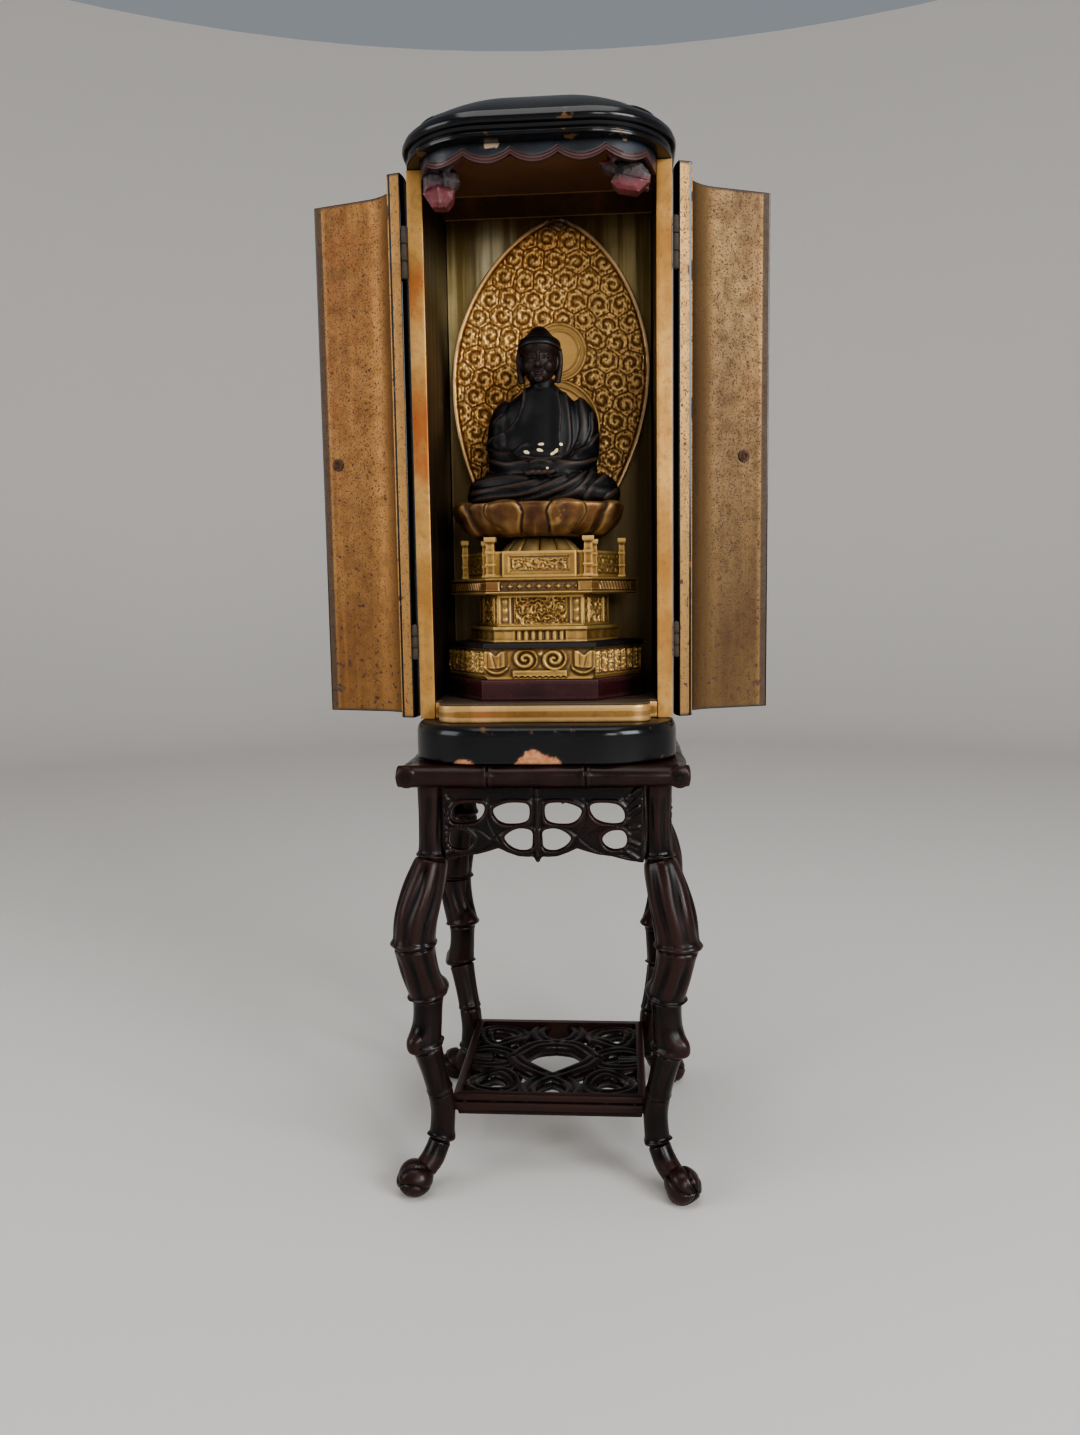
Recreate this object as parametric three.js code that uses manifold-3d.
// A folding shrine: a round-cornered lacquered cabinet with two curved doors, a seated figure on a
// tiered dais with a leaf-shaped mandorla inside, on a carved hardwood stand in bamboo form.
// Millimetres, +Z up, the shrine faces -Y, the origin is on the floor under the middle of the stand.
import * as THREE from 'three';
import { mergeVertices } from 'three/addons/utils/BufferGeometryUtils.js';
import Module from 'manifold-3d';

const wasm = await Module();
wasm.setup();

const GAP = 0.3; // joint line left between neighbouring pieces

// ---- stand ----
const TOP_HALF = 81; // outer face of the bamboo edge of the stand's top
const EDGE_RADIUS = 6.45; // the edge culms' radius
const STAND_HEIGHT = 250.7;
const TOP_UNDERSIDE = STAND_HEIGHT - 2 * EDGE_RADIUS;
const EDGE_NODE = 27; // nodes on the edge culms, each side of the middle
const LEG_SIDES = 7;
// a leg from the top down: distance out along the diagonal, height, radius
const LEG_COURSE = [
  [90.2, 237.4, 7.9], [90.2, 192, 8.2], [96.5, 178, 9.4], [102.8, 163, 10.3],
  [104.6, 148, 10.6], [101.4, 133, 10], [96, 116, 9.6], [96.4, 102, 8.8], [100.2, 87, 9.8],
  [93.4, 69, 7.9], [87.6, 47, 7.2], [91.4, 28, 6.9], [96.4, 18, 6.8],
];
const LEG_NODES = [192, 148, 116, 87, 28]; // heights of the bamboo nodes
const NODE_COLLAR = 1.1; // how far a node stands out
const NODE_HALF_HEIGHT = 1.8;
const FOOT_OUT = 108.4; // the ball feet, out along the diagonal
const FOOT_RADIUS = 10.6;
const FOOT_FLAT = 0.9; // cut off below so that the foot stands flat
const APRON_FACE = 72.6; // front face of an apron, from the middle of the stand
const APRON_THICK = 6;
const APRON_HALF = 55.6;
const APRON_EDGE = 198.2; // mean height of the wavy lower edge
const APRON_WAVE = 3.6;
const APRON_WAVE_LENGTH = 48;
// openings in an apron's right half: centre x, centre z, half width, half height
const APRON_OPENINGS = [[14.2, 221.4, 9.6, 6.6], [37, 221.6, 9.4, 6.2], [10.4, 207.4, 7, 6], [40.5, 206.6, 6.6, 5.2]];
const SHELF_HALF = 57;
const SHELF_TOP = 51.4;
const SHELF_THICK = 13.4;
const SHELF_FRAME = 8; // width of the shelf's rails
const SHELF_PANEL_TOP = 49.6;
const SHELF_PANEL_THICK = 6.5;
const SHELF_DIAMOND = [16.5, 19];

// ---- cabinet ----
const CABINET_HALF = 73;
const WALL = 8.7;
const CABINET_BACK = 50;
const CABINET_FRONT = -40.5; // front edges of the side walls, where the doors hang
const BACK_RADIUS = 7;
const BASE_BOTTOM = STAND_HEIGHT + GAP;
const BASE_TOP = 272;
const BASE_SHOULDER = 266;
const BASE_HALF = 75;
const BASE_FRONT = -79;
const BASE_RADIUS = 42;
const BASE_BACK = 52;
const FLOOR_TOP = 283;
const FLOOR_FRONT = -62;
const FLOOR_HALF = 60;
const FLOOR_RADIUS = 10;
const BODY_TOP = 576.4;
const ROOF_BOTTOM = 576.7;
const ROOF_RIM = 586.6;
const ROOF_RISE = 30;
const ROOF_HALF = 75.4;
const ROOF_FRONT = -81;
const ROOF_BACK = 52.5;
const ROOF_RADIUS = 47.7;
const CEILING_BOTTOM = 590.9;
const CEILING_THICK = 2.8;
const VALANCE_THICK = 3;
const VALANCE_DROP = 567.2; // lowest points of the scallops
const VALANCE_SCALLOP = [25, 4.6]; // length and height of one scallop

// ---- doors and hinges ----
const DOOR_THICK = 8;
const DOOR_RADIUS = 37; // outer radius of the curved corner
const DOOR_BOTTOM = 272.8;
const DOOR_TOP = 576;
const HINGE_OUT = 2; // hinge axis outside the wall's outer face
const HINGE_Y = -40.85;
const DOOR_EDGE_Y = HINGE_Y - 0.35;
const LEFT_DOOR_OPEN = 196; // degrees from closed, as the doors stand open
const RIGHT_DOOR_OPEN = 202;
const HINGE_SPANS = { upper: [519, 547], lower: [307, 327] };
const KNUCKLE_RADIUS = 1.7;
const PIN_RADIUS = 0.7;
const PIN_HOLE_RADIUS = 1.05;
const LEAF_THICK = 0.8;
const LEAF_LENGTH = 6;
const PULL_HEIGHT = 423.9;
const PULL_FROM_MIDDLE = { left: 11, right: 17 };

// ---- dais, figure and mandorla ----
const DAIS_X = -2.5;
const DAIS_Y = -5;
// tiers from below: bottom, top, corner half width, front half depth, front facet half width
const TIERS = {
  plinth: [283.3, 295, 61.2, 45, 33],
  lower: [295.3, 316, 59.5, 43.5, 32],
  step: [316.3, 325, 45.5, 35.5, 27],
  waist: [325.3, 343, 39.5, 30, 25],
  plate: [343.3, 353, 57, 41, 30.5],
  upper: [353.3, 368, 48, 34, 28.5],
};
const CALYX = [368.3, 376.8];
const LOTUS_X = -4.6;
const LOTUS_Y = -10;
const LOTUS_PETALS = 10;
// the lotus from below: height, half width, half depth
const LOTUS_RINGS = [[377.1, 27, 18], [379.6, 41, 27.5], [384, 48.6, 32.5], [389, 50, 33.5], [394, 48.6, 32.4], [396.2, 45, 30]];
const SEAT = 396.5;
const FIGURE_X = -1.4;
const FIGURE_Y = -7;
const MANDORLA_X = -5;
const MANDORLA_FRONT = 26.5;
const MANDORLA_THICK = 4;
const MANDORLA_FOOT = 368.4;
const MANDORLA_LOW = 385;
const MANDORLA_TIP = 571;
const MANDORLA_HALF = 61.2;
const MANDORLA_LEAN = 4; // degrees towards +X
const HALO_HEAD = [486, 27]; // centre height and outer radius
const HALO_BODY = [432, 37];

const lacquer = new THREE.MeshStandardMaterial({ color: 0x0f0f11, roughness: 0.18, metalness: 0 });
const gilding = new THREE.MeshStandardMaterial({ color: 0xb08442, roughness: 0.42, metalness: 0.75 });
const oldGilding = new THREE.MeshStandardMaterial({ color: 0xa5874e, roughness: 0.5, metalness: 0.6 });
const maroon = new THREE.MeshStandardMaterial({ color: 0x4a2224, roughness: 0.4, metalness: 0 });
const crimson = new THREE.MeshStandardMaterial({ color: 0x7a2c34, roughness: 0.55, metalness: 0 });
const navy = new THREE.MeshStandardMaterial({ color: 0x1d2733, roughness: 0.45, metalness: 0 });
const ceilingBrown = new THREE.MeshStandardMaterial({ color: 0x2d160a, roughness: 0.5, metalness: 0 });
const darkBronze = new THREE.MeshStandardMaterial({ color: 0x1f1b1c, roughness: 0.38, metalness: 0.1 });
const rosewood = new THREE.MeshStandardMaterial({ color: 0x341b18, roughness: 0.35, metalness: 0 });
const iron = new THREE.MeshStandardMaterial({ color: 0x2b2622, roughness: 0.5, metalness: 0.8 });

const root = new THREE.Group();

function addPart(name, geometry, material, parent = root) {
  const mesh = new THREE.Mesh(geometry, material);
  mesh.name = name;
  parent.add(mesh);
  return mesh;
}

// ---- solids ----

function toSolid(geometry) {
  const bare = geometry.clone();
  bare.deleteAttribute('normal');
  bare.deleteAttribute('uv');
  const merged = mergeVertices(bare, 1e-4);
  const mesh = new wasm.Mesh({
    numProp: 3,
    vertProperties: new Float32Array(merged.attributes.position.array),
    triVerts: new Uint32Array(merged.index.array),
  });
  return new wasm.Manifold(mesh);
}

function toGeometry(solid) {
  const mesh = solid.getMesh();
  const geometry = new THREE.BufferGeometry();
  geometry.setAttribute('position', new THREE.BufferAttribute(new Float32Array(mesh.vertProperties), 3));
  geometry.setIndex(new THREE.BufferAttribute(new Uint32Array(mesh.triVerts), 1));
  geometry.computeVertexNormals();
  return geometry;
}

function join(...geometries) {
  return toGeometry(geometries.map(toSolid).reduce((all, next) => all.add(next)));
}

function cut(geometry, ...tools) {
  return toGeometry(tools.map(toSolid).reduce((rest, tool) => rest.subtract(tool), toSolid(geometry)));
}

function signedVolume(positions, index) {
  const corner = (k) => new THREE.Vector3().fromArray(positions, 3 * index[k]);
  let sum = 0;
  for (let k = 0; k < index.length; k += 3) {
    sum += corner(k).dot(corner(k + 1).cross(corner(k + 2)));
  }
  return sum / 6;
}

// A closed skin over rings of equal count, capped at both ends; a ring of one point is a tip.
function loft(rings) {
  const positions = [];
  const starts = rings.map((ring) => {
    const start = positions.length / 3;
    ring.forEach((p) => positions.push(p.x, p.y, p.z));
    return start;
  });
  const sides = Math.max(...rings.map((ring) => ring.length));
  const at = (r, k) => starts[r] + (rings[r].length === 1 ? 0 : k % sides);
  const index = [];
  for (let r = 0; r + 1 < rings.length; r += 1) {
    for (let k = 0; k < sides; k += 1) {
      if (rings[r].length > 1) index.push(at(r, k), at(r, k + 1), at(r + 1, k));
      if (rings[r + 1].length > 1) index.push(at(r, k + 1), at(r + 1, k + 1), at(r + 1, k));
    }
  }
  const cap = (r, flip) => {
    if (rings[r].length === 1) return;
    const middle = rings[r].reduce((sum, p) => sum.add(p), new THREE.Vector3()).divideScalar(sides);
    const hub = positions.length / 3;
    positions.push(middle.x, middle.y, middle.z);
    for (let k = 0; k < sides; k += 1) {
      index.push(hub, flip ? at(r, k + 1) : at(r, k), flip ? at(r, k) : at(r, k + 1));
    }
  };
  cap(0, true);
  cap(rings.length - 1, false);
  if (signedVolume(positions, index) < 0) {
    for (let k = 0; k < index.length; k += 3) [index[k], index[k + 1]] = [index[k + 1], index[k]];
  }
  const geometry = new THREE.BufferGeometry();
  geometry.setAttribute('position', new THREE.Float32BufferAttribute(positions, 3));
  geometry.setIndex(index);
  geometry.computeVertexNormals();
  return geometry;
}

// An upright prism over a plan outline, with holes.
function prism(outline, bottom, top, holes = []) {
  const shape = new THREE.Shape(outline);
  holes.forEach((hole) => shape.holes.push(new THREE.Path(hole)));
  const geometry = new THREE.ExtrudeGeometry(shape, { depth: top - bottom, bevelEnabled: false });
  geometry.translate(0, 0, bottom);
  return geometry;
}

// A plate standing in the XZ plane: the outline's y is height, and it is `thick` deep behind `front`.
function plate(outline, front, thick, holes = []) {
  const geometry = prism(outline, 0, thick, holes);
  geometry.rotateX(Math.PI / 2);
  geometry.translate(0, front + thick, 0);
  return geometry;
}

function block(x0, x1, y0, y1, z0, z1) {
  const geometry = new THREE.BoxGeometry(x1 - x0, y1 - y0, z1 - z0);
  geometry.translate((x0 + x1) / 2, (y0 + y1) / 2, (z0 + z1) / 2);
  return geometry;
}

function arc(cx, cy, radius, from, to, steps) {
  const points = [];
  for (let k = 0; k <= steps; k += 1) {
    const a = THREE.MathUtils.degToRad(from + ((to - from) * k) / steps);
    points.push(new THREE.Vector2(cx + radius * Math.cos(a), cy + radius * Math.sin(a)));
  }
  return points;
}

// A superellipse |x/a|^n + |y/b|^n = 1 as an outline.
function superellipse(cx, cy, a, b, power, count) {
  const points = [];
  for (let k = 0; k < count; k += 1) {
    const t = (2 * Math.PI * (k + 0.5)) / count;
    const scale = (Math.abs(Math.cos(t)) ** power + Math.abs(Math.sin(t)) ** power) ** (-1 / power);
    points.push(new THREE.Vector2(cx + a * scale * Math.cos(t), cy + b * scale * Math.sin(t)));
  }
  return points;
}

// The cabinet's plan: a flat back and wide round corners in front.
function cabinetPlan(half, front, back, frontRadius, backRadius, inset = 0) {
  const h = half - inset;
  const f = front + inset;
  const b = back - inset;
  const r = frontRadius - inset;
  const s = Math.max(backRadius - inset, 1);
  return [
    ...arc(-h + r, f + r, r, 180, 270, 6), ...arc(h - r, f + r, r, 270, 360, 6),
    ...arc(h - s, b - s, s, 0, 90, 2), ...arc(-h + s, b - s, s, 90, 180, 2),
  ];
}

function ringAt(outline, z) {
  return outline.map((p) => new THREE.Vector3(p.x, p.y, z));
}

function ellipsoid(cx, cy, cz, rx, ry, rz, around = 12, up = 8) {
  const geometry = new THREE.SphereGeometry(1, around, up);
  geometry.rotateX(Math.PI / 2);
  geometry.scale(rx, ry, rz);
  geometry.translate(cx, cy, cz);
  return geometry;
}

// A round limb through stations of [x, y, z, radius].
function limb(stations, sides = 8) {
  const centres = stations.map(([x, y, z]) => new THREE.Vector3(x, y, z));
  const rings = centres.map((centre, k) => {
    const before = centres[Math.max(k - 1, 0)];
    const after = centres[Math.min(k + 1, centres.length - 1)];
    const along = after.clone().sub(before).normalize();
    const turn = new THREE.Quaternion().setFromUnitVectors(new THREE.Vector3(0, 0, 1), along);
    return arc(0, 0, stations[k][3], 0, 360 - 360 / sides, sides - 1)
      .map((p) => new THREE.Vector3(p.x, p.y, 0).applyQuaternion(turn).add(centre));
  });
  return loft(rings);
}

// ---- stand ----

function edgeCulm() {
  const profile = [[-TOP_HALF, 0], [-TOP_HALF, EDGE_RADIUS - 0.8]];
  for (const node of [-EDGE_NODE, EDGE_NODE]) {
    profile.push([node - 1.4, EDGE_RADIUS - 0.7], [node, EDGE_RADIUS], [node + 1.4, EDGE_RADIUS - 0.7]);
  }
  profile.push([TOP_HALF, EDGE_RADIUS - 0.8], [TOP_HALF, 0]);
  const culm = new THREE.LatheGeometry(profile.map(([x, r]) => new THREE.Vector2(r, x)), 7);
  culm.rotateZ(-Math.PI / 2);
  culm.rotateX(Math.PI / 7);
  return culm;
}

function standTop() {
  const inner = TOP_HALF - EDGE_RADIUS;
  const middle = STAND_HEIGHT - EDGE_RADIUS;
  const board = block(-inner, inner, -inner, inner, TOP_UNDERSIDE + 1, STAND_HEIGHT - 0.3);
  const culms = [0, 90, 180, 270].map((turn) => {
    const culm = edgeCulm();
    culm.translate(0, -inner, middle);
    culm.rotateZ(THREE.MathUtils.degToRad(turn));
    return culm;
  });
  return join(board, ...culms);
}

// Collars at the bamboo nodes: a raised ring with a pinch just below it.
function collar(z) {
  return LEG_NODES.reduce((sum, node) => sum + NODE_COLLAR * Math.exp(-(((z - node) / NODE_HALF_HEIGHT) ** 2)), 0);
}

function legStations() {
  const levels = LEG_COURSE.map(([, z]) => z);
  LEG_NODES.forEach((node) => levels.push(node - NODE_HALF_HEIGHT));
  const sorted = [...new Set(levels)].sort((a, b) => b - a);
  return sorted.map((z) => {
    const k = Math.min(LEG_COURSE.findIndex(([, low]) => low <= z) || 1, LEG_COURSE.length - 1);
    const [outA, zA, rA] = LEG_COURSE[k - 1];
    const [outB, zB, rB] = LEG_COURSE[k];
    const t = (zA - z) / (zA - zB);
    return [outA + (outB - outA) * t, 0, z, rA + (rB - rA) * t + collar(z)];
  });
}

function standLeg() {
  const shaft = limb([...legStations(), [102, 0, 13, 6.4]], LEG_SIDES);
  const ball = ellipsoid(FOOT_OUT, 0, FOOT_RADIUS - FOOT_FLAT, FOOT_RADIUS, FOOT_RADIUS, FOOT_RADIUS, 8, 5);
  const reach = 2 * FOOT_RADIUS;
  const floor = block(FOOT_OUT - reach, FOOT_OUT + reach, -reach, reach, -reach, 0);
  const ceiling = block(60, 130, -reach, reach, TOP_UNDERSIDE - GAP, TOP_UNDERSIDE + reach);
  return cut(join(shaft, ball), floor, ceiling);
}

function apron() {
  const outline = [new THREE.Vector2(APRON_HALF, TOP_UNDERSIDE - GAP), new THREE.Vector2(-APRON_HALF, TOP_UNDERSIDE - GAP)];
  const steps = 14;
  for (let k = 0; k <= steps; k += 1) {
    const x = -APRON_HALF + (2 * APRON_HALF * k) / steps;
    outline.push(new THREE.Vector2(x, APRON_EDGE - APRON_WAVE * Math.cos((2 * Math.PI * x) / APRON_WAVE_LENGTH)));
  }
  const openings = [-1, 1].flatMap((side) => APRON_OPENINGS
    .map(([x, z, a, b]) => superellipse(side * x, z, a, b, 2.4, 7)));
  return plate(outline, -APRON_FACE, APRON_THICK, openings);
}

function shelf() {
  const corner = SHELF_HALF - 1.1;
  const outline = [[-corner, -SHELF_HALF], [corner, -SHELF_HALF], [SHELF_HALF, -corner], [SHELF_HALF, corner],
    [corner, SHELF_HALF], [-corner, SHELF_HALF], [-SHELF_HALF, corner], [-SHELF_HALF, -corner]]
    .map(([x, y]) => new THREE.Vector2(x, y));
  const inner = SHELF_HALF - SHELF_FRAME;
  const rails = prism(outline, SHELF_TOP - SHELF_THICK, SHELF_TOP, [superellipse(0, 0, inner, inner, 60, 4)]);
  const [diamondX, diamondY] = SHELF_DIAMOND;
  const holes = [superellipse(0, 0, diamondX, diamondY, 1.35, 8)];
  for (const side of [-1, 1]) {
    holes.push(superellipse(side * 32.5, 0, 10, 6.5, 2.2, 6), superellipse(0, side * 31, 9, 8, 2.2, 6));
    holes.push(superellipse(side * 31, 27, 9, 8, 2.2, 6), superellipse(side * 31, -27, 9, 8, 2.2, 6));
  }
  const reach = inner + 2;
  const panel = prism([[-reach, -reach], [reach, -reach], [reach, reach], [-reach, reach]]
    .map(([x, y]) => new THREE.Vector2(x, y)), SHELF_PANEL_TOP - SHELF_PANEL_THICK, SHELF_PANEL_TOP, holes);
  return join(rails, panel);
}

function addStand() {
  addPart('stand_top', standTop(), rosewood);
  const leg = standLeg();
  const corners = { back_right: 45, back_left: 135, front_left: 225, front_right: 315 };
  for (const [name, turn] of Object.entries(corners)) {
    addPart(`stand_leg_${name}`, leg, rosewood).rotation.z = THREE.MathUtils.degToRad(turn);
  }
  const panel = apron();
  const sides = { front: 0, right: 90, back: 180, left: 270 };
  for (const [name, turn] of Object.entries(sides)) {
    addPart(`stand_apron_${name}`, panel, rosewood).rotation.z = THREE.MathUtils.degToRad(turn);
  }
  addPart('stand_shelf', shelf(), rosewood);
}

// ---- cabinet ----

function base() {
  const level = (z, inset) => ringAt(cabinetPlan(BASE_HALF, BASE_FRONT, BASE_BACK, BASE_RADIUS, BACK_RADIUS, inset), z);
  return loft([level(BASE_BOTTOM, 0.6), level(BASE_BOTTOM + 1.2, 0), level(BASE_SHOULDER, 0),
    level(BASE_SHOULDER + 2.6, 0.8), level(BASE_SHOULDER + 4.6, 2.4), level(BASE_TOP, 4.6)]);
}

// The floor board fills the cabinet and stands out in front of it as a step inside the doors.
function floorBoard() {
  const wide = CABINET_HALF - WALL - GAP;
  const back = CABINET_BACK - WALL - GAP;
  const shoulder = CABINET_FRONT + 0.4;
  const outline = [
    ...arc(-FLOOR_HALF + FLOOR_RADIUS, FLOOR_FRONT + FLOOR_RADIUS, FLOOR_RADIUS, 180, 270, 5),
    ...arc(FLOOR_HALF - FLOOR_RADIUS, FLOOR_FRONT + FLOOR_RADIUS, FLOOR_RADIUS, 270, 360, 5),
    new THREE.Vector2(FLOOR_HALF, shoulder), new THREE.Vector2(wide, shoulder),
    new THREE.Vector2(wide, back), new THREE.Vector2(-wide, back),
    new THREE.Vector2(-wide, shoulder), new THREE.Vector2(-FLOOR_HALF, shoulder),
  ];
  return prism(outline, BASE_TOP + GAP, FLOOR_TOP);
}

// A shallow housing for a hinge leaf in the outer face, open towards the joint line.
function leafHousing(side, towardsDoor, [low, high]) {
  const outer = side * (CABINET_HALF + 0.5);
  const inner = side * (CABINET_HALF - LEAF_THICK - GAP);
  const near = HINGE_Y + (towardsDoor ? 1 : -1);
  const far = HINGE_Y + (towardsDoor ? -1 : 1) * (LEAF_LENGTH + 2 * GAP);
  return block(Math.min(outer, inner), Math.max(outer, inner), Math.min(near, far), Math.max(near, far), low - GAP, high + GAP);
}

function cabinetBody() {
  const r = BACK_RADIUS;
  const inner = CABINET_HALF - WALL;
  const back = CABINET_BACK - WALL;
  const outline = [
    new THREE.Vector2(CABINET_HALF, CABINET_FRONT),
    ...arc(CABINET_HALF - r, CABINET_BACK - r, r, 0, 90, 4),
    ...arc(-CABINET_HALF + r, CABINET_BACK - r, r, 90, 180, 4),
    new THREE.Vector2(-CABINET_HALF, CABINET_FRONT), new THREE.Vector2(-inner, CABINET_FRONT),
    new THREE.Vector2(-inner, back), new THREE.Vector2(inner, back), new THREE.Vector2(inner, CABINET_FRONT),
  ];
  const housings = [-1, 1].flatMap((side) => Object.values(HINGE_SPANS).map((span) => leafHousing(side, false, span)));
  return cut(prism(outline, BASE_TOP + GAP, BODY_TOP), ...housings);
}

// The plan just inside the closed doors, which the valance follows.
function valancePlan(inset) {
  const radius = DOOR_RADIUS - DOOR_THICK - 0.8 - inset;
  const cx = CABINET_HALF - DOOR_RADIUS;
  return [...arc(-cx, DOOR_EDGE_Y, radius, 180, 270, 6), ...arc(cx, DOOR_EDGE_Y, radius, 270, 360, 6)];
}

function roof() {
  const plan = (inset) => cabinetPlan(ROOF_HALF, ROOF_FRONT, ROOF_BACK, ROOF_RADIUS, 12, inset);
  const levels = [[2.2, ROOF_BOTTOM], [2.2, ROOF_BOTTOM + 3.2], [3.4, ROOF_BOTTOM + 4],
    [2.8, ROOF_RIM - 2.2], [0, ROOF_RIM - 1.2]].map(([inset, z]) => ringAt(plan(inset), z));
  const middle = new THREE.Vector2(0, (ROOF_FRONT + ROOF_BACK) / 2);
  for (const s of [0.98, 0.88, 0.66, 0.34]) {
    const z = ROOF_RIM + ROOF_RISE * (1 - s ** 1.6) ** 0.78;
    levels.push(ringAt(plan(0).map((p) => p.sub(middle).multiplyScalar(s).add(middle)), z));
  }
  levels.push([new THREE.Vector3(middle.x, middle.y, ROOF_RIM + ROOF_RISE)]);
  const inner = CABINET_HALF - WALL;
  const back = CABINET_BACK - WALL;
  const recess = [...valancePlan(-GAP), new THREE.Vector2(inner, back), new THREE.Vector2(-inner, back)];
  return cut(loft(levels), prism(recess, ROOF_BOTTOM - 5, CEILING_BOTTOM + CEILING_THICK + GAP));
}

function ceilingBoard() {
  const inner = CABINET_HALF - WALL - GAP;
  const back = CABINET_BACK - WALL - GAP;
  const outline = [...valancePlan(0), new THREE.Vector2(inner, back), new THREE.Vector2(-inner, back)];
  return prism(outline, CEILING_BOTTOM, CEILING_BOTTOM + CEILING_THICK);
}

// A thin curved board under the roof whose lower edge hangs in scallops.
function valance() {
  const outer = valancePlan(0);
  const ends = new THREE.Vector2(-outer[0].x, 0).x;
  const route = new THREE.CurvePath();
  for (let k = 0; k + 1 < outer.length; k += 1) route.add(new THREE.LineCurve(outer[k], outer[k + 1]));
  const [length, height] = VALANCE_SCALLOP;
  const steps = 26;
  const rings = [];
  for (let k = 0; k <= steps; k += 1) {
    const p = route.getPointAt(k / steps);
    const cx = Math.sign(p.x) * Math.min(Math.abs(p.x), CABINET_HALF - DOOR_RADIUS);
    const inward = new THREE.Vector2(cx - p.x, DOOR_EDGE_Y - p.y).normalize().multiplyScalar(VALANCE_THICK);
    const q = p.clone().add(inward);
    const along = Math.max(Math.abs(p.x) < ends ? p.x : ends * Math.sign(p.x), -ends);
    const low = VALANCE_DROP + height * (1 - Math.abs(Math.cos((Math.PI * along) / length)));
    const high = CEILING_BOTTOM - GAP;
    rings.push([new THREE.Vector3(p.x, p.y, low), new THREE.Vector3(q.x, q.y, low),
      new THREE.Vector3(q.x, q.y, high), new THREE.Vector3(p.x, p.y, high)]);
  }
  return loft(rings);
}

// A carved cloud hanging in a front corner under the ceiling: a stem and rounded lobes.
function cloudBracket(side) {
  const lobes = [[44, -55.5, 579, 6.4, 4, 6], [50.5, -50.5, 570.5, 7.6, 6, 7.4], [53, -48, 560, 6.6, 5.6, 7.6], [49.5, -49, 553.5, 5, 4.6, 6]];
  const solids = lobes.map(([x, y, z, rx, ry, rz]) => ellipsoid(side * x, y, z, rx, ry, rz, 6, 4));
  const stem = block(side * 48 - 3.5, side * 48 + 3.5, -54, -48, 572, CEILING_BOTTOM - GAP);
  return join(stem, ...solids);
}

function addCabinet() {
  addPart('cabinet_base', base(), lacquer);
  addPart('cabinet_floor', floorBoard(), gilding);
  addPart('cabinet_body', cabinetBody(), lacquer);
  addPart('cabinet_roof', roof(), lacquer);
  addPart('cabinet_ceiling', ceilingBoard(), ceilingBrown);
  addPart('valance', valance(), navy);
  addPart('left_cloud_bracket', cloudBracket(-1), crimson);
  addPart('right_cloud_bracket', cloudBracket(1), crimson);
}

// ---- doors ----

// One door as it stands closed: side is -1 for the left door, hung at the left.
function doorPlan(side) {
  const cx = CABINET_HALF - DOOR_RADIUS;
  const outer = arc(cx, DOOR_EDGE_Y, DOOR_RADIUS, 0, -90, 8);
  const inner = arc(cx, DOOR_EDGE_Y, DOOR_RADIUS - DOOR_THICK, -90, 0, 8);
  const meeting = GAP / 2;
  const half = [...outer, new THREE.Vector2(meeting, DOOR_EDGE_Y - DOOR_RADIUS),
    new THREE.Vector2(meeting, DOOR_EDGE_Y - DOOR_RADIUS + DOOR_THICK), ...inner];
  return side > 0 ? half : half.map((p) => new THREE.Vector2(-p.x, p.y)).reverse();
}

function pullHole(x) {
  const hole = new THREE.CylinderGeometry(1.75, 1.75, 3 * DOOR_THICK, 8);
  return hole.translate(x, DOOR_EDGE_Y - DOOR_RADIUS + DOOR_THICK / 2, PULL_HEIGHT);
}

function door(side, pullX) {
  const leaf = prism(doorPlan(side), DOOR_BOTTOM, DOOR_TOP);
  const housings = Object.values(HINGE_SPANS).map((span) => leafHousing(side, true, span));
  return cut(leaf, ...housings, pullHole(pullX));
}

// A turned pull through the door: a knob outside, a shank and a round washer inside.
function doorPull(x) {
  const outside = DOOR_EDGE_Y - DOOR_RADIUS;
  const inside = outside + DOOR_THICK;
  const profile = [[0, inside + 1.8], [1.6, inside + 1.1], [3.6, inside + 1.1], [3.6, inside + GAP], [1.3, inside + GAP],
    [1.3, outside - GAP], [4.2, outside - GAP], [4, outside - 1.4], [1.8, outside - 3], [3.1, outside - 5], [0, outside - 7]];
  const pull = new THREE.LatheGeometry(profile.map(([r, y]) => new THREE.Vector2(r, y)).reverse(), 7);
  return pull.translate(x, 0, PULL_HEIGHT);
}

// A length of hinge barrel round the hinge axis, solid or bored for the pin.
function knuckle(low, high, bored) {
  const ring = new THREE.Shape(arc(0, 0, KNUCKLE_RADIUS, 0, 300, 5));
  if (bored) ring.holes.push(new THREE.Path(arc(0, 0, PIN_HOLE_RADIUS, 0, 300, 5)));
  const geometry = new THREE.ExtrudeGeometry(ring, { depth: high - low, bevelEnabled: false });
  return geometry.translate(0, 0, low);
}

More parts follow.
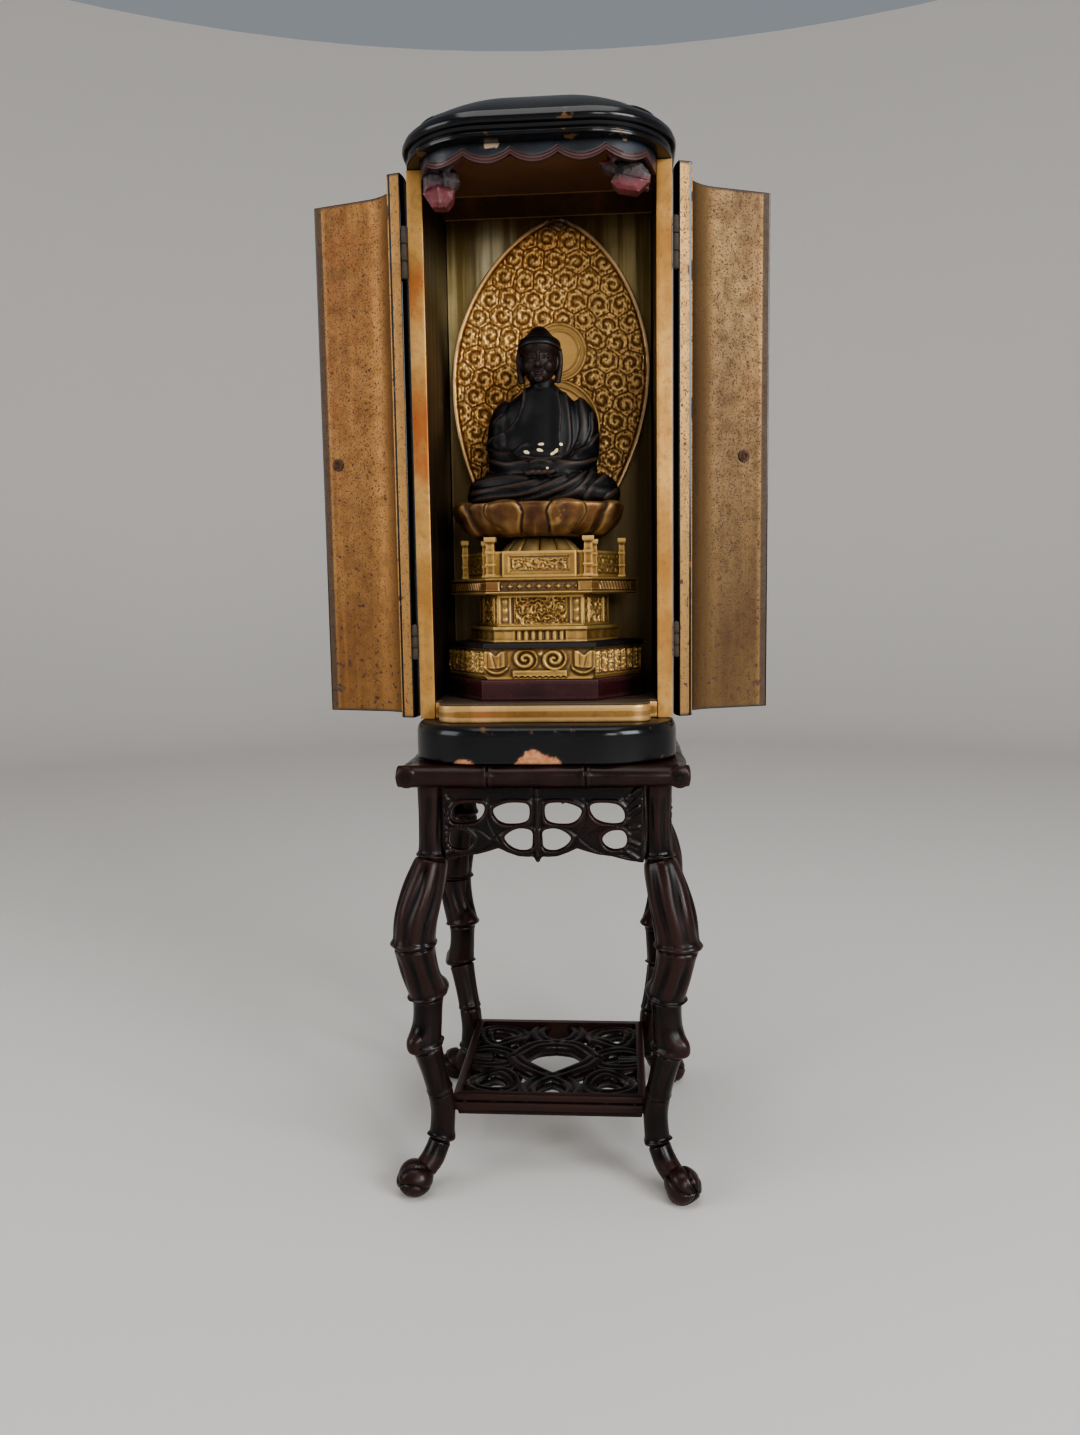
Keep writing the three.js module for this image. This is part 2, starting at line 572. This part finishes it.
// One side of a hinge about its own axis: a leaf let into the face beside knuckles.
// `side` is +1 where the leaf lies towards -X, `run` is +1 where it runs towards +Y.
function hingeSide(side, run, knuckles, [low, high], bored) {
  const webTo = -side * (HINGE_OUT + LEAF_THICK);
  const leaf = block(Math.min(-side * HINGE_OUT, webTo), Math.max(-side * HINGE_OUT, webTo),
    run > 0 ? 0.5 : -LEAF_LENGTH, run > 0 ? LEAF_LENGTH : -0.5, low, high);
  const solids = [leaf];
  for (const [from, to] of knuckles) {
    solids.push(knuckle(from, to, bored));
    const start = -side * (PIN_HOLE_RADIUS + 0.15);
    solids.push(block(Math.min(start, webTo), Math.max(start, webTo), run > 0 ? 0.5 : -1.3, run > 0 ? 1.3 : -0.5, from, to));
  }
  if (!bored) {
    const pin = knuckle(low, high, false);
    pin.scale(PIN_RADIUS / KNUCKLE_RADIUS, PIN_RADIUS / KNUCKLE_RADIUS, 1);
    solids.push(pin);
  }
  return join(...solids);
}

function addHinge(name, side, span, doorGroup) {
  const [low, high] = span;
  const third = (high - low) / 3;
  const ends = [[low, low + third - GAP / 2], [high - third + GAP / 2, high]];
  const middle = [[low + third + GAP / 2, high - third - GAP / 2]];
  const frame = addPart(`${name}_hinge_frame`, hingeSide(side, 1, ends, span, false), iron);
  frame.position.set(side * (CABINET_HALF + HINGE_OUT), HINGE_Y, 0);
  addPart(`${name}_hinge_door`, hingeSide(side, -1, middle, span, true), iron, doorGroup);
}

function addDoor(name, side, open) {
  const group = new THREE.Group();
  const axisX = side * (CABINET_HALF + HINGE_OUT);
  group.position.set(axisX, HINGE_Y, 0);
  group.rotation.z = side * THREE.MathUtils.degToRad(open);
  root.add(group);
  const pullX = side * PULL_FROM_MIDDLE[name];
  addPart(`${name}_door`, door(side, pullX).translate(-axisX, -HINGE_Y, 0), gilding, group);
  addPart(`${name}_door_pull`, doorPull(pullX).translate(-axisX, -HINGE_Y, 0), iron, group);
  for (const [level, span] of Object.entries(HINGE_SPANS)) addHinge(`${name}_${level}`, side, span, group);
}

// ---- dais ----

function hexagon(half, depth, facet, grow = 0) {
  const h = half + grow;
  const d = depth + grow;
  const f = facet + grow * 0.6;
  return [[-h, 0], [-f, -d], [f, -d], [h, 0], [f, d], [-f, d]]
    .map(([x, y]) => new THREE.Vector2(DAIS_X + x, DAIS_Y + y));
}

function hexCorners(half, depth, facet) {
  return hexagon(half, depth, facet);
}

function post(p, size, low, high) {
  return block(p.x - size, p.x + size, p.y - size, p.y + size, low, high);
}

// Pairs of carved swirls on the three front facets of the lower tier.
function swirls(half, depth, facet, z, radius) {
  const corners = hexCorners(half, depth, facet);
  const bosses = [];
  for (const [a, b] of [[0, 1], [1, 2], [2, 3]]) {
    const along = corners[b].clone().sub(corners[a]);
    const turn = Math.atan2(along.y, along.x);
    for (const t of [0.5 - radius / along.length(), 0.5 + radius / along.length()]) {
      const boss = new THREE.CylinderGeometry(radius * 0.55, radius * 0.95, 2.4, 6);
      boss.rotateZ(turn);
      const centre = corners[a].clone().lerp(corners[b], t);
      bosses.push(boss.translate(centre.x, centre.y, z));
    }
  }
  return bosses;
}

function lowerTier() {
  const [low, high, half, depth, facet] = TIERS.lower;
  const core = prism(hexagon(half, depth, facet, -2.5), low, high);
  const lip = prism(hexagon(half, depth, facet), high - 3, high);
  const foot = prism(hexagon(half, depth, facet), low, low + 3.4);
  const posts = hexCorners(half - 3, depth - 1.6, facet).map((p) => post(p, 3, low, high - 1));
  return join(core, lip, foot, ...posts, ...swirls(half - 2.6, depth - 2.6, facet, (low + high) / 2 + 0.6, 6));
}

function step() {
  const [low, high, half, depth, facet] = TIERS.step;
  const core = prism(hexagon(half, depth, facet, -1.4), low, high);
  const flutes = [];
  const count = 7;
  for (let k = 0; k < count; k += 1) {
    const x = DAIS_X - 16 + (32 * k) / (count - 1);
    flutes.push(block(x - 1.3, x + 1.3, DAIS_Y - depth, DAIS_Y - depth + 3, low + 0.6, high - 2));
  }
  return join(core, prism(hexagon(half, depth, facet), high - 2.4, high), ...flutes);
}

function waist() {
  const [low, high, half, depth, facet] = TIERS.waist;
  const core = prism(hexagon(half, depth, facet, -2.2), low, high);
  const posts = hexCorners(half - 1, depth - 1, facet - 1).map((p) => post(p, 3.4, low, high));
  const frame = block(DAIS_X - 15, DAIS_X + 15, DAIS_Y - depth + 0.8, DAIS_Y, low + 1.5, high - 1.5);
  return join(core, frame, ...posts);
}

function plateTier() {
  const [low, high, half, depth, facet] = TIERS.plate;
  const studs = [];
  for (let k = -2; k <= 2; k += 1) {
    const x = DAIS_X + k * 9;
    studs.push(block(x - 2.8, x + 2.8, DAIS_Y - depth - 0.8, DAIS_Y - depth + 2, low + 3, high - 3));
  }
  const level = (z, grow) => ringAt(hexagon(half, depth, facet, grow), z);
  return join(loft([level(low, -4), level(low + 2.4, -0.6), level(high - 2, 0), level(high, -1.2)]), ...studs);
}

function upperTier() {
  const [low, high, half, depth, facet] = TIERS.upper;
  const core = prism(hexagon(half, depth, facet, -2), low, high);
  const posts = hexCorners(half - 1, depth - 1, facet).map((p) => post(p, 2.4, low, high + 8));
  const panel = block(DAIS_X - 21, DAIS_X + 21, DAIS_Y - depth, DAIS_Y, low + 1, high - 0.6);
  return join(core, panel, ...posts);
}

// Rings of petals: the outline swells once for each petal.
function petalRing(cx, cy, z, a, b, petals, swell, count) {
  const ring = [];
  for (let k = 0; k < count; k += 1) {
    const t = (2 * Math.PI * k) / count - Math.PI / 2;
    const r = 1 - swell * (1 - Math.abs(Math.cos((petals * (t + Math.PI / 2)) / 2)));
    ring.push(new THREE.Vector3(cx + a * r * Math.cos(t), cy + b * r * Math.sin(t), z));
  }
  return ring;
}

function calyx() {
  const [low, high] = CALYX;
  const ring = (z, a, b, swell) => petalRing(LOTUS_X, LOTUS_Y + 3, z, a, b, 8, swell, 24);
  return loft([ring(low, 23, 19, 0.2), ring(low + 2.4, 24, 20, 0.24), ring(low + 5.5, 17, 13, 0.12), ring(high, 14, 10, 0)]);
}

function lotus() {
  const swell = [0.02, 0.07, 0.1, 0.1, 0.09, 0.05];
  return loft(LOTUS_RINGS.map(([z, a, b], k) => petalRing(LOTUS_X, LOTUS_Y, z, a, b, LOTUS_PETALS, swell[k], 30)));
}

// ---- figure ----

// A horizontal ring round the figure: half width, half depth, and a squareness.
function bodyRing(z, a, b, dx = 0, dy = 0, power = 2.3, count = 12) {
  return superellipse(FIGURE_X + dx, FIGURE_Y + dy, a, b, power, count).map((p) => new THREE.Vector3(p.x, p.y, z));
}

function lap() {
  return loft([bodyRing(SEAT, 42, 25, 0, 0, 2.6), bodyRing(SEAT + 5, 45.4, 27.8, 0, 0, 2.5),
    bodyRing(SEAT + 11, 41, 25, 0, 1, 2.2), bodyRing(SEAT + 16.5, 22, 15, 0, 4, 2.1)]);
}

function torso() {
  return loft([bodyRing(SEAT + 10, 25, 16, 0, 4), bodyRing(SEAT + 28, 24, 15, 0, 3), bodyRing(SEAT + 50, 26, 13.5, 0, 2),
    bodyRing(SEAT + 60, 21.5, 11, 0, 2), bodyRing(SEAT + 66.5, 9, 8, -1.2, 1), bodyRing(SEAT + 76, 7, 7, -1.6, -1)]);
}

function arm(side) {
  const at = (x, y, z, r) => [FIGURE_X + side * x, FIGURE_Y + y, SEAT + z, r];
  return limb([at(20, 1, 60, 5), at(25, 1, 53, 8), at(27.5, 0, 42, 8.4), at(28, -1, 32, 8.2), at(25.5, -9, 23, 7.8),
    at(15, -19, 19.5, 6.4), at(3, -22, 18.5, 4.6)], 6);
}

// A sleeve's fall from the forearm to the thigh.
function sleeve(side) {
  const at = (x, y, z, r) => [FIGURE_X + side * x, FIGURE_Y + y, SEAT + z, r];
  return limb([at(25, -6, 22, 7.5), at(29, -5, 14, 8), at(33, -4, 7, 6)], 6);
}

function head() {
  const x = FIGURE_X - 1.7;
  const y = FIGURE_Y - 3;
  const brow = SEAT + 86;
  const parts = [
    ellipsoid(x, y, brow - 2.6, 10.6, 11.6, 14.4, 10, 6),
    ellipsoid(x, y + 1.2, brow + 3.4, 12, 12.8, 10, 9, 4),
    ellipsoid(x, y + 1.8, brow + 10.8, 7.4, 7.8, 6.4, 7, 4),
    ellipsoid(x, y - 10.6, brow - 4.4, 1.8, 2, 4.2, 4, 4),
  ];
  for (const side of [-1, 1]) parts.push(ellipsoid(x + side * 10.8, y + 1, brow - 6, 1.8, 3, 7.6, 4, 4));
  return parts;
}

// Ridges of the robe: its edge down the chest, and folds spread over the shins.
function robeFolds() {
  const at = (x, y, z, r) => [FIGURE_X + x, FIGURE_Y + y, SEAT + z, r];
  const folds = [
    limb([at(-9, -5, 65, 2), at(-14, -11.4, 48, 2.2), at(-4, -13.5, 22, 2)], 4),
    limb([at(9, -5, 65, 2), at(12, -11.8, 48, 2.2), at(5, -13.5, 22, 2)], 4),
  ];
  for (const side of [-1, 1]) {
    for (const k of [0, 1]) {
      const z = 13 - 5 * k;
      folds.push(limb([at(side * 38, -9, z - 1, 2), at(side * 24, -21 - 2 * k, z - 2, 2.4), at(side * 6, -23.5 - 2 * k, z - 5, 2)], 4));
    }
  }
  return folds;
}

function figure() {
  const hands = ellipsoid(FIGURE_X + 0.6, FIGURE_Y - 21.5, SEAT + 18, 12.5, 6.4, 4.4, 7, 4);
  return join(lap(), torso(), ...head(), hands, ...robeFolds(), ...[-1, 1].flatMap((side) => [arm(side), sleeve(side)]));
}

// ---- mandorla ----

// Half width of the leaf at a height: widest in the middle, pointed above, drawn in below.
function leafHalf(z) {
  const middle = (MANDORLA_LOW + MANDORLA_TIP) / 2;
  const u = Math.abs(z - middle) / ((MANDORLA_TIP - MANDORLA_LOW) / 2);
  return MANDORLA_HALF * (z > middle ? Math.max(1 - u ** 1.9, 0) ** 0.65 : 1 - 0.48 * u * u);
}

function leafOutline(inset) {
  const levels = 9;
  const right = [];
  for (let k = 0; k < levels; k += 1) {
    const t = Math.sin((Math.PI / 2) * (k / levels));
    const z = MANDORLA_LOW + inset + (MANDORLA_TIP - MANDORLA_LOW - 2.6 * inset) * t;
    right.push(new THREE.Vector2(Math.max(leafHalf(z) - inset, 0.8), z));
  }
  const left = right.map((p) => new THREE.Vector2(-p.x, p.y)).reverse();
  return [...right, new THREE.Vector2(0, MANDORLA_TIP - 1.6 * inset), ...left];
}

function raisedRing(radius, width, z, lift) {
  const count = 16;
  return plate(arc(0, z, radius, 0, 360 - 360 / count, count - 1), MANDORLA_FRONT - lift, lift + 1,
    [arc(0, z, radius - width, 0, 360 - 360 / count, count - 1)]);
}

// Rows of cloud curls over the leaf outside the haloes, staggered from row to row.
function cloudCurls() {
  const pitch = 16;
  const curls = [];
  for (let row = 0; MANDORLA_LOW + 12 + row * pitch * 0.9 < MANDORLA_TIP - 14; row += 1) {
    const z = MANDORLA_LOW + 12 + row * pitch * 0.9;
    for (let k = -5; k <= 5; k += 1) {
      const x = (k + (row % 2) / 2) * pitch;
      const clear = (height, radius) => Math.hypot(x, z - height) > radius + 5.5;
      if (Math.abs(x) > leafHalf(z) - 8 || !clear(...HALO_HEAD) || !clear(...HALO_BODY)) continue;
      if (Math.abs(x) < 30 && z < HALO_BODY[0]) continue;
      const curl = new THREE.CylinderGeometry(2.6, 5.8, 2.6, 4);
      curls.push(curl.translate(x, 0, 0).rotateX(Math.PI).translate(0, MANDORLA_FRONT - 0.3, z));
    }
  }
  return curls;
}

function mandorla() {
  const leaf = plate(leafOutline(0), MANDORLA_FRONT, MANDORLA_THICK);
  const rim = plate(leafOutline(0), MANDORLA_FRONT - 1.5, 2, [leafOutline(3)]);
  const foot = block(-13, 13, MANDORLA_FRONT, MANDORLA_FRONT + MANDORLA_THICK, MANDORLA_FOOT, MANDORLA_LOW + 4);
  const rings = [raisedRing(HALO_HEAD[1], 3, HALO_HEAD[0], 1.2), raisedRing(HALO_BODY[1], 3, HALO_BODY[0], 0.8)];
  const whole = join(leaf, foot, rim, ...rings, ...cloudCurls());
  whole.translate(0, 0, -MANDORLA_LOW);
  whole.rotateY(THREE.MathUtils.degToRad(MANDORLA_LEAN));
  whole.translate(MANDORLA_X, 0, MANDORLA_LOW);
  return cut(whole, block(-60, 60, 0, 60, MANDORLA_FOOT - 20, MANDORLA_FOOT));
}

function addStatue() {
  const [low, high, ...plan] = TIERS.plinth;
  addPart('dais_plinth', prism(hexagon(...plan), low, high), maroon);
  addPart('dais_lower_tier', lowerTier(), oldGilding);
  addPart('dais_step', step(), oldGilding);
  addPart('dais_waist', waist(), oldGilding);
  addPart('dais_plate', plateTier(), oldGilding);
  addPart('dais_upper_tier', upperTier(), oldGilding);
  addPart('dais_calyx', calyx(), gilding);
  addPart('lotus_seat', lotus(), gilding);
  addPart('seated_figure', figure(), darkBronze);
  addPart('mandorla', mandorla(), gilding);
}

addStand();
addCabinet();
addDoor('left', -1, LEFT_DOOR_OPEN);
addDoor('right', 1, RIGHT_DOOR_OPEN);
addStatue();

export default root;
